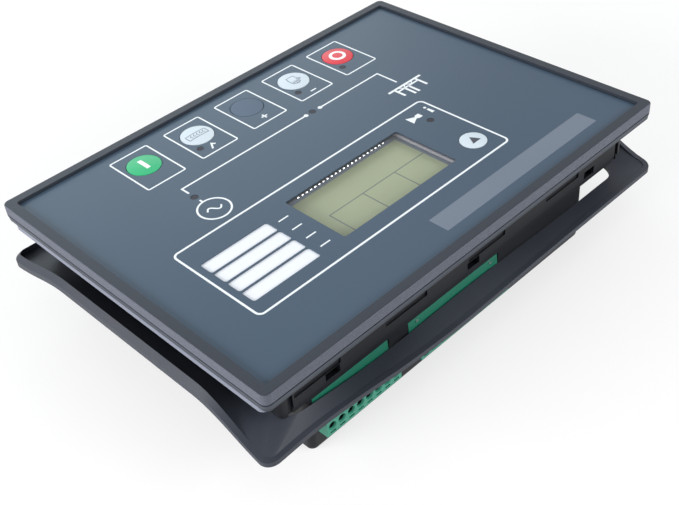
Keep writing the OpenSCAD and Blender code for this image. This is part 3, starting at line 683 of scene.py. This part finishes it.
class CONTROLLER_OT_fascia(bpy.types.Operator):
    """Printed film: satin ground, lines round the buttons and the display, signs and the bare title strip"""

    bl_idname = "controller.print_fascia"
    bl_label = "Fascia"

    def execute(self, context):
        s = context.scene.controller_fascia
        film = Finish("film", tint(s.film), 0.4, 0.25)
        cloud, fine = film.noise(70.0, 1.0), film.noise(0.35, 2.0)
        film.paint(film.shade(0.06, cloud), 0.36 + fine * 0.1)
        film.relief(fine, 0.012, 0.5)
        film.on("fascia_overlay")
        ink = printed("fascia_ink", tint(s.print_tint), 0.45, 0.03)
        strip = printed("title_strip", tint(s.strip), 0.38, 0.05, 40.0, 1.0)
        low, high = FACE - INK_SINK, FACE + s.ink
        plate = Solids()
        plate.prism(round_rect(*TITLE_STRIP), low, high)
        plate.piece("title_strip", strip)

        lines = Solids()

        def stroke(path, width, closed=False):
            lines.stroke(path, width, low, high + INK_LAYER * len(lines.points), closed, FLAT_STEP)

        def dot(x, y, radius):
            lines.prism(ring((x, y), radius, 24), low, high + DOT_RISE)

        half, bottom, top, corner = BUTTON_FRAME
        for x in BUTTON_X:
            stroke(round_rect(x - half, bottom, x + half, top, corner), s.line, True)
        stroke(round_rect(*DISPLAY_FRAME), 1.0, True)
        for width, path in LABEL_TICKS + BUS:
            stroke(path, width)
        for x in BUS_GAP:
            dot(x, BUS_Y, BUS_DOT)
        stroke(ring(GENERATOR, GENERATOR_RADIUS, 48), 0.9, True)
        x, y = GENERATOR
        stroke([(x + WAVE_STEP * k, y - WAVE_RISE * math.sin(k * math.pi / WAVE_CUTS))
                for k in range(-WAVE_CUTS, WAVE_CUTS + 1)], 0.8)
        for width, path in PYLON + MINUS + PLUS + TICK:
            stroke(path, width)
        lines.prism(INFO_STEM, low, high)
        dot(*INFO_DOT)
        lines.prism(HORN, low, high)
        lines.piece("fascia_print", ink)

        card = Finish("white_card", tint(s.card), 0.6)
        fibre = card.noise(0.9)
        card.paint(card.shade(0.02, fibre))
        card.relief(fibre, 0.01, 0.4)
        card.on("label_card")
        lamp = moulded("dark_lens", tint(s.lamp), 0.5, 0.8, 0.01, 0.2, specular=0.25)
        lamp.on("status_lamps")
        return {"FINISHED"}


class CONTROLLER_OT_display(bpy.types.Operator):
    """Display: clear pane, glass with its active area and grid, bright pins and the backlight"""

    bl_idname = "controller.dress_display"
    bl_label = "Display"

    def execute(self, context):
        s = context.scene.controller_display
        pane = Finish("clear_pane", srgb(225, 230, 235), 0.35, 0.1, Alpha=0.06)
        pane.paint(roughness=0.32 + pane.noise(12.0) * 0.06)
        pane.on("display_window")

        glass = Finish("display_face", tint(s.margin), 0.25, 0.2)
        x, y, _ = glass.place()

        def box(x0, y0, x1, y1):
            """Distance outside a rectangle, below 0 inside it."""
            return abs(x - (x0 + x1) / 2) - (x1 - x0) / 2 | abs(y - (y0 + y1) / 2) - (y1 - y0) / 2

        active = box(*ACTIVE).inside(0.2)
        grid = box(*GRID_LINE)
        for branch in GRID_BRANCHES:
            grid = grid & box(*branch)
        cloud = glass.noise(30.0, 1.0)
        face = glass.mix(tuple(0.93 * c for c in s.face), tuple(1.05 * c for c in s.face), cloud)
        face = glass.mix(face, tint(s.lines), grid.inside(0.15))
        edge = glass.shade(0.1, glass.noise(5.0))
        glass.paint(glass.mix(edge, face, active), 0.2 + cloud * 0.1)
        glass.on("display_glass")

        moulded("white_plastic", srgb(214, 216, 208), 0.5).on("display_backlight")
        pin = Solids()
        turns = [math.pi * k / 12 for k in range(13)]
        pin.bar([(PIN_MIDDLE - PIN_RADIUS * math.cos(a), PIN_RISE + PIN_RADIUS * math.sin(a)) for a in turns],
                -PIN_HALF, PIN_HALF)
        pin.bar(PIN_LEG, -PIN_HALF, PIN_HALF)
        low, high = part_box("display_pins")
        first, last = low[0] / MM + PIN_INSET, high[0] / MM - PIN_INSET
        start = (first, low[1] / MM + PIN_HALF, level("display_glass", 1))
        pins = rows("display_clips", pin, metal("bright_metal", srgb(244, 246, 248), 0.3),
                    [(PIN_COUNT, start, ((last - first) / (PIN_COUNT - 1), 0, 0))])
        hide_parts("display_pins")
        return {"FINISHED"}


class CONTROLLER_OT_buttons(bpy.types.Operator):
    """Six domed buttons with their signs"""

    bl_idname = "controller.dress_buttons"
    bl_label = "Buttons"

    low, high = -0.06, 0.06

    def execute(self, context):
        s = context.scene.controller_buttons
        # The plus cap is rougher and paler: its colour carries a painted sheen to match the lit film
        caps = {"stop": ("red_cap", s.red), "start": ("green_cap", s.green), "plus": ("grey_cap", s.grey)}
        for name in BUTTONS:
            slot_name, shade = caps.get(name, ("white_cap", s.white))
            rough, gloss = (0.6, 0.12) if name == "plus" else (0.36, 0.25)
            cap = moulded(f"{name}_{slot_name}", tint(shade), rough, 0.4, 0.01, 0.25, 0.04, specular=gloss)
            cap.on(f"{name}_button")
        white = printed("sign_white", srgb(246, 247, 248), 0.42, 0.02)
        grey = printed("sign_grey", tint(s.sign), 0.45, 0.05)
        dark = printed("sign_dark", srgb(58, 62, 72), 0.45, 0.05)
        signs = {"stop": (self.stop, white), "manual": (self.manual, grey), "auto": (self.auto, grey),
                 "start": (self.start, white), "scroll": (self.scroll, dark)}
        for name, (draw, shade) in signs.items():
            x, y = plan(f"{name}_button")[:2]
            radius = SCROLL_RADIUS if name == "scroll" else CAP_RADIUS
            sign = Solids()
            draw(sign, x, y)
            top = level(f"{name}_button", 1)

            def lift(px, py):
                return top - s.dome * ((px - x) ** 2 + (py - y) ** 2) / radius ** 2

            made = sign.piece(f"{name}_sign", shade, lift, f"{name}_cap")
        return {"FINISHED"}

    def lines(self, sign, x, y, paths, width):
        """Lines round a button's middle: each path is its points and whether it is closed."""
        for path, closed in paths:
            sign.stroke([(x + a, y + b) for a, b in path], width, self.low, self.high, closed)

    def stop(self, sign, x, y):
        """Ring"""
        sign.stroke(ring((x, y), 3.6), 1.7, self.low, self.high, True)

    def start(self, sign, x, y):
        """Bar"""
        sign.stroke([(x, y - 3.9), (x, y + 3.9)], 2.1, self.low, self.high)

    def scroll(self, sign, x, y):
        """Triangle in rows, which stands a little higher than lines because its rows are wide"""
        wide, top, tip = 2.5, 2.2, -2.25
        levels = [top - 0.44 * k for k in range(11)]
        half = [wide * (v - tip) / (top - tip) + 0.02 for v in levels]
        sign.band([(x + h, y + v) for h, v in zip(half, levels)], [(x - h, y + v) for h, v in zip(half, levels)],
                  self.low, self.high + 0.08)

    def auto(self, sign, x, y):
        """Frame with a row of chevrons"""
        self.lines(sign, x, y, [(round_rect(-5.6, -1.9, 5.6, 1.9, 0.3), True)], 0.42)
        tips = [-3.2 + 1.75 * k for k in range(5)]
        self.lines(sign, x, y, [([(tip - 1.0, 1.1), (tip, 0.0), (tip - 1.0, -1.1)], False) for tip in tips], 0.38)

    def manual(self, sign, x, y):
        """Hand: thumb and first finger, three fingers and the wrist"""
        paths = [[(-2.4, -3.4), (-2.4, -1.2), (-3.9, 0.6), (-3.6, 1.2), (-2.9, 1.1), (-2.0, 0.1), (-2.0, 2.8)]
                 + arc((-1.45, 2.8), 0.55, 180, 0, 4) + [(-0.9, 0.9)]]
        finger = 1.15
        for k, top in enumerate((3.3, 3.1, 2.3)):
            a = -0.9 + finger * k
            paths.append([(a, 1.0), (a, top)] + arc((a + finger / 2, top), finger / 2, 180, 0, 4) + [(a + finger, 1.0)])
        paths.append([(2.55, 1.0), (2.55, -1.4), (1.9, -3.4), (-2.4, -3.4)])
        self.lines(sign, x, y, [(path, False) for path in paths], 0.42)


class CONTROLLER_OT_terminals(bpy.types.Operator):
    """Terminal plugs and headers with their pins and clamp screws"""

    bl_idname = "controller.dress_terminals"
    bl_label = "Terminals"

    def execute(self, context):
        s = context.scene.controller_terminals
        lines = []
        for plug, count, pitch in PLUG_WAYS:
            (x0, y0, _), (_, y1, _) = ([c / MM for c in corner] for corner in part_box(plug))
            self.plug(s, plug, pitch, x0, max(-y0, y1))
            x, y = plan(plug)[:2]
            row_y = y1 - CLAMP_IN if y > 0 else y0 + CLAMP_IN
            lines.append((count, (x - (count - 1) / 2 * pitch, row_y, level("clamp_screws", 0)), (pitch, 0, 0)))
        headers = [n for n in NODES if n.startswith("header_") and n != "header_pins"]
        moulded("header_green", tint(s.header), 0.45, 0.5, 0.02, 0.25).on(*headers)
        metal("tinned_pin", srgb(224, 226, 228), 0.25).on("header_pins", "coding_pins")
        radius = s.screw_radius
        screw = Solids()
        screw.prism(ring((0, 0), radius, 24), CLAMP_DEEP, CLAMP_TALL)
        segment = math.degrees(math.asin(CLAMP_SLIT / radius))
        for turn in (0, 180):
            screw.prism(arc((0, 0), radius, turn + segment, turn + 180 - segment, 12), 0, CLAMP_DEEP)
        screws = rows("clamp_screw_heads", screw, metal("clamp_steel", srgb(196, 198, 200), 0.35), lines)
        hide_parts("clamp_screws")
        return {"FINISHED"}

    def plug(self, s, plug, pitch, x0, front):
        """Green plastic with painted shade: a darker upper part under the bezel's overhang and dark wire entries."""
        green = moulded(f"{plug}_green", tint(s.plug), 0.42, 0.5, 0.02, 0.25)
        x, y, z = green.place()
        across = (green.math("FRACT", (x - x0 - PLUG_END) / pitch) - 0.5) * pitch
        reach = (across * across + (z - (FOOT - WIRE_DROP)) ** 2) ** 0.5 - WIRE_RADIUS
        # Painted shade: the wire entries are painted dark where their openings lie in shade
        entry_shade = (reach | abs(y) - (front - WIRE_DEPTH)).inside(0.2)
        shell = green.shader.inputs["Base Color"].links[0].from_socket
        # Painted shade: the upper part, under the bezel's overhang, is darker green
        shaded_latch = (FOOT - LATCH_DROP - z).inside(1)
        green.paint(green.mix(green.mix(shell, tint(s.shaded_latch), shaded_latch), tint(s.clamp), entry_shade))
        green.on(plug)


class CONTROLLER_OT_boards(bpy.types.Operator):
    """Boards and the parts on them, inside the case"""

    bl_idname = "controller.dress_boards"
    bl_label = "Boards"

    def execute(self, context):
        board = Finish("board", srgb(22, 92, 58), 0.35)
        weave = board.noise(0.6, 2.0, (1, 3, 1))
        board.paint(board.shade(0.1, board.noise(6.0)), 0.3 + weave * 0.15)
        board.relief(weave, 0.02, 0.5)
        board.on("display_board", "main_board")
        black = moulded("black_plastic", srgb(36, 36, 38), 0.5)
        black.on("push_switches", "board_link", "logic_chips", "current_sensors")
        moulded("relay_blue", srgb(36, 70, 140), 0.45).on("relays")
        moulded("capacitor_sleeve", srgb(34, 34, 56), 0.3, 1.0, 0.01).on("capacitors")
        metal("spacer_brass", srgb(206, 178, 104), 0.3).on("board_spacers")
        metal("board_screw_steel", srgb(190, 192, 194), 0.35).on("board_screws")
        return {"FINISHED"}


def near_edge(v):
    """1 at the upper edge, fading fast towards the middle."""
    return max(0, v) ** 4


def hang(shape, u, v):
    """Height of the hanging gasket's underside at a point of its unit square."""
    ne, nw, sw, se = shape["drop"]
    right, left, side, plug = shape["lift"]
    drop = ((1 + u) * (1 + v) * ne + (1 - u) * (1 + v) * nw + (1 - u) * (1 - v) * sw + (1 + u) * (1 - v) * se) / 4
    end = (right if u > 0 else left) * ease((1 - abs(v)) / HALF_WAY) * (1 + END_SKEW * v)
    over_plug = plug * ease(1 - abs(u - PLUG_U) / PLUG_REACH) * near_edge(v)
    return FOOT - drop + end + side * ease((1 - abs(u)) / HALF_WAY) + over_plug


def gather(t, share):
    """Draws points of a side towards its ends, over this share of it."""
    near = min(t, 1 - t) / share
    shift = share * near * (1 - near) ** 2 if near < 1 else 0
    return t - shift if t < 0.5 else t + shift


def loop(x, y, r, steps, spread=0.01):
    """Points round a rectangle of these half sizes, gathered over a length beside its round corners."""
    long, short = steps, round(steps * GASKET_Y / GASKET_X)
    corners = [((x - r, y - r), 0), ((r - x, y - r), 90), ((r - x, r - y), 180), ((x - r, r - y), 270)]
    points = []
    for k, (centre, start) in enumerate(corners):
        bend = arc(centre, r, start, start + 90, 12)
        after = arc(corners[(k + 1) % 4][0], r, start + 90, start + 91, 1)[0]
        a, b = Vector(bend[-1]), Vector(after)
        n = long if k % 2 == 0 else short
        points += bend[:-1] + [tuple(a.lerp(b, gather(i / n, spread / (b - a).length))) for i in range(n)]
    return points


class CONTROLLER_OT_gasket(bpy.types.Operator):
    """Rubber tray that hangs bent round the housing: web, outer lip and soft edges"""

    bl_idname = "controller.make_gasket"
    bl_label = "Gasket"

    def execute(self, context):
        s = context.scene.controller_gasket
        rubber = Finish("gasket_rubber", tint(s.rubber), 0.5, 0.3)
        fine, cloud = rubber.noise(0.7, 3.0), rubber.noise(18.0)
        rubber.paint(rubber.shade(0.14, cloud * 0.7 + fine * 0.3), 0.42 + cloud * 0.2)
        rubber.relief(fine, 0.05, 0.5)

        def pulled(x, y):
            """The upper edge is drawn towards the housing at the right end."""
            return x, y - s.pull * ease((x - PULL_FROM) / PULL_OVER) * near_edge(y / GASKET_Y)

        outer = loop(GASKET_X, GASKET_Y, s.radius, s.steps)
        lip = loop(GASKET_X - s.lip_width, GASKET_Y - s.lip_width, s.radius - s.lip_width, s.steps)
        inner = loop(OPENING_X, OPENING_Y, s.bend, s.steps, s.spread)
        points = []
        for o, w, i in zip(outer, lip, inner):
            u, v = o[0] / GASKET_X, o[1] / GASKET_Y
            low = hang(OUTER, u, v) - s.sag * ease(1 - abs(u - NEXT_U) / SAG_REACH) * near_edge(v)
            flat = ease((v - FLAT_FROM) / FLAT_OVER)
            rise = s.lip_height - s.run_out * flat
            top = low + rise + s.slant * (1 - flat)
            u, v = i[0] / OPENING_X, i[1] / OPENING_Y
            rim = hang(INNER, u, v) - s.droop * ease(1 - abs(u - PLUG_U) / DROOP_REACH) * near_edge(v)
            o, w = pulled(*o), pulled(*w)
            bend = low + (rim - low) * math.dist(o, w) / math.dist(o, i)
            points += [(*i, rim), (*o, low), (*o, low + rise), (*w, max(top, bend + s.web + LIP_LEAST)),
                       (*w, bend + s.web), (*i, rim + s.web)]
        n = len(outer)
        faces = [(6 * i + k, 6 * i + (k + 1) % 6, 6 * ((i + 1) % n) + (k + 1) % 6, 6 * ((i + 1) % n) + k)
                 for i in range(n) for k in range(6)]
        mesh = mesh_of("gasket_tray", points, faces, rubber)
        tray = settle("gasket_tray", mesh)
        mesh.shade_smooth()
        edge = tray.modifiers.new("edge", "BEVEL")
        edge.width, edge.segments, edge.limit_method, edge.angle_limit = s.edge * MM, 3, "ANGLE", math.radians(35)
        edge.harden_normals = True
        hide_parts("gasket")
        return {"FINISHED"}


class CONTROLLER_OT_stage(bpy.types.Operator):
    """Pale floor, soft studio light and the camera"""

    bl_idname = "controller.set_stage"
    bl_label = "Stage"

    def execute(self, context):
        scene, s = context.scene, context.scene.controller_stage
        scene.view_settings.view_transform = "Standard"
        ground = Finish("floor_paper", tint(s.floor), 0.9)
        ground.paint(ground.shade(0.01, ground.noise(30.0)))
        x, y, _ = ground.place()
        away = (((x * x + y * y) ** 0.5 - FADE_FROM) / FADE_OVER).share()
        white = ground.node("ShaderNodeEmission").outputs[0]
        pale = ground.node("ShaderNodeMixShader", sockets={
            0: ground.seen() * (away * (1 - s.pale) + s.pale), 1: ground.shader.outputs[0], 2: white})
        ground.feed(ground.output.inputs["Surface"], pale.outputs[0])
        floor, far = Solids(), FLOOR_HALF
        floor.prism([(-far, -far), (far, -far), (far, far), (-far, far)], FLOOR_LOW, FLOOR_TOP)
        made = add_object("floor", mesh_of("floor", floor.points, floor.faces, ground))

        scene.world = bpy.data.worlds.new("studio")
        scene.world.use_nodes = True
        sky = Nodes(scene.world.node_tree)
        light, white = (sky.node("ShaderNodeBackground", sockets={"Color": (1, 1, 1, 1), "Strength": strength})
                        for strength in (s.sky, 1))
        both = sky.node("ShaderNodeMixShader", sockets={0: sky.seen(), 1: light.outputs[0], 2: white.outputs[0]})
        sky.node("ShaderNodeOutputWorld", sockets={"Surface": both.outputs[0]})

        for name, setting, width, height, place, shade in LIGHTS:
            lamp = bpy.data.lights.new(name, "AREA")
            lamp.energy, lamp.color = getattr(s, setting), shade
            lamp.shape, lamp.size, lamp.size_y = "RECTANGLE", width, height
            stand = add_object(name, lamp)
            stand.location = place
            stand.rotation_euler = (-Vector(place)).to_track_quat("-Z", "Y").to_euler()

        camera = bpy.data.cameras.new("camera")
        camera.lens, camera.sensor_width, camera.sensor_fit = s.lens, 36, "HORIZONTAL"
        camera.clip_start, camera.clip_end = 0.01, 20
        scene.camera = add_object("camera", camera)
        scene.camera.location, scene.camera.rotation_euler = s.eye, s.turn
        return {"FINISHED"}


STEPS = (CONTROLLER_OT_stage, CONTROLLER_OT_case, CONTROLLER_OT_fascia, CONTROLLER_OT_display, CONTROLLER_OT_buttons,
         CONTROLLER_OT_terminals, CONTROLLER_OT_boards, CONTROLLER_OT_gasket)


class CONTROLLER_PT_panel(bpy.types.Panel):
    """Settings and steps of the controller"""

    bl_idname = "CONTROLLER_PT_panel"
    bl_label = "Controller"
    bl_space_type = "VIEW_3D"
    bl_region_type = "UI"
    bl_category = "Controller"

    def draw(self, context):
        for key in GROUPS:
            box = self.layout.box()
            group = getattr(context.scene, key)
            for name in group.__annotations__:
                box.prop(group, name)
        for step in STEPS:
            self.layout.operator(step.bl_idname)


def register():
    for key, group in GROUPS.items():
        bpy.utils.register_class(group)
        setattr(bpy.types.Scene, key, PointerProperty(type=group))
    for step in (*STEPS, CONTROLLER_PT_panel):
        bpy.utils.register_class(step)


def unregister():
    for step in (CONTROLLER_PT_panel, *reversed(STEPS)):
        bpy.utils.unregister_class(step)
    for key, group in reversed(GROUPS.items()):
        delattr(bpy.types.Scene, key)
        bpy.utils.unregister_class(group)


def main():
    register()
    for step in STEPS:
        area, name = step.bl_idname.split(".")
        getattr(getattr(bpy.ops, area), name)()


if __name__ == "__main__":
    main()
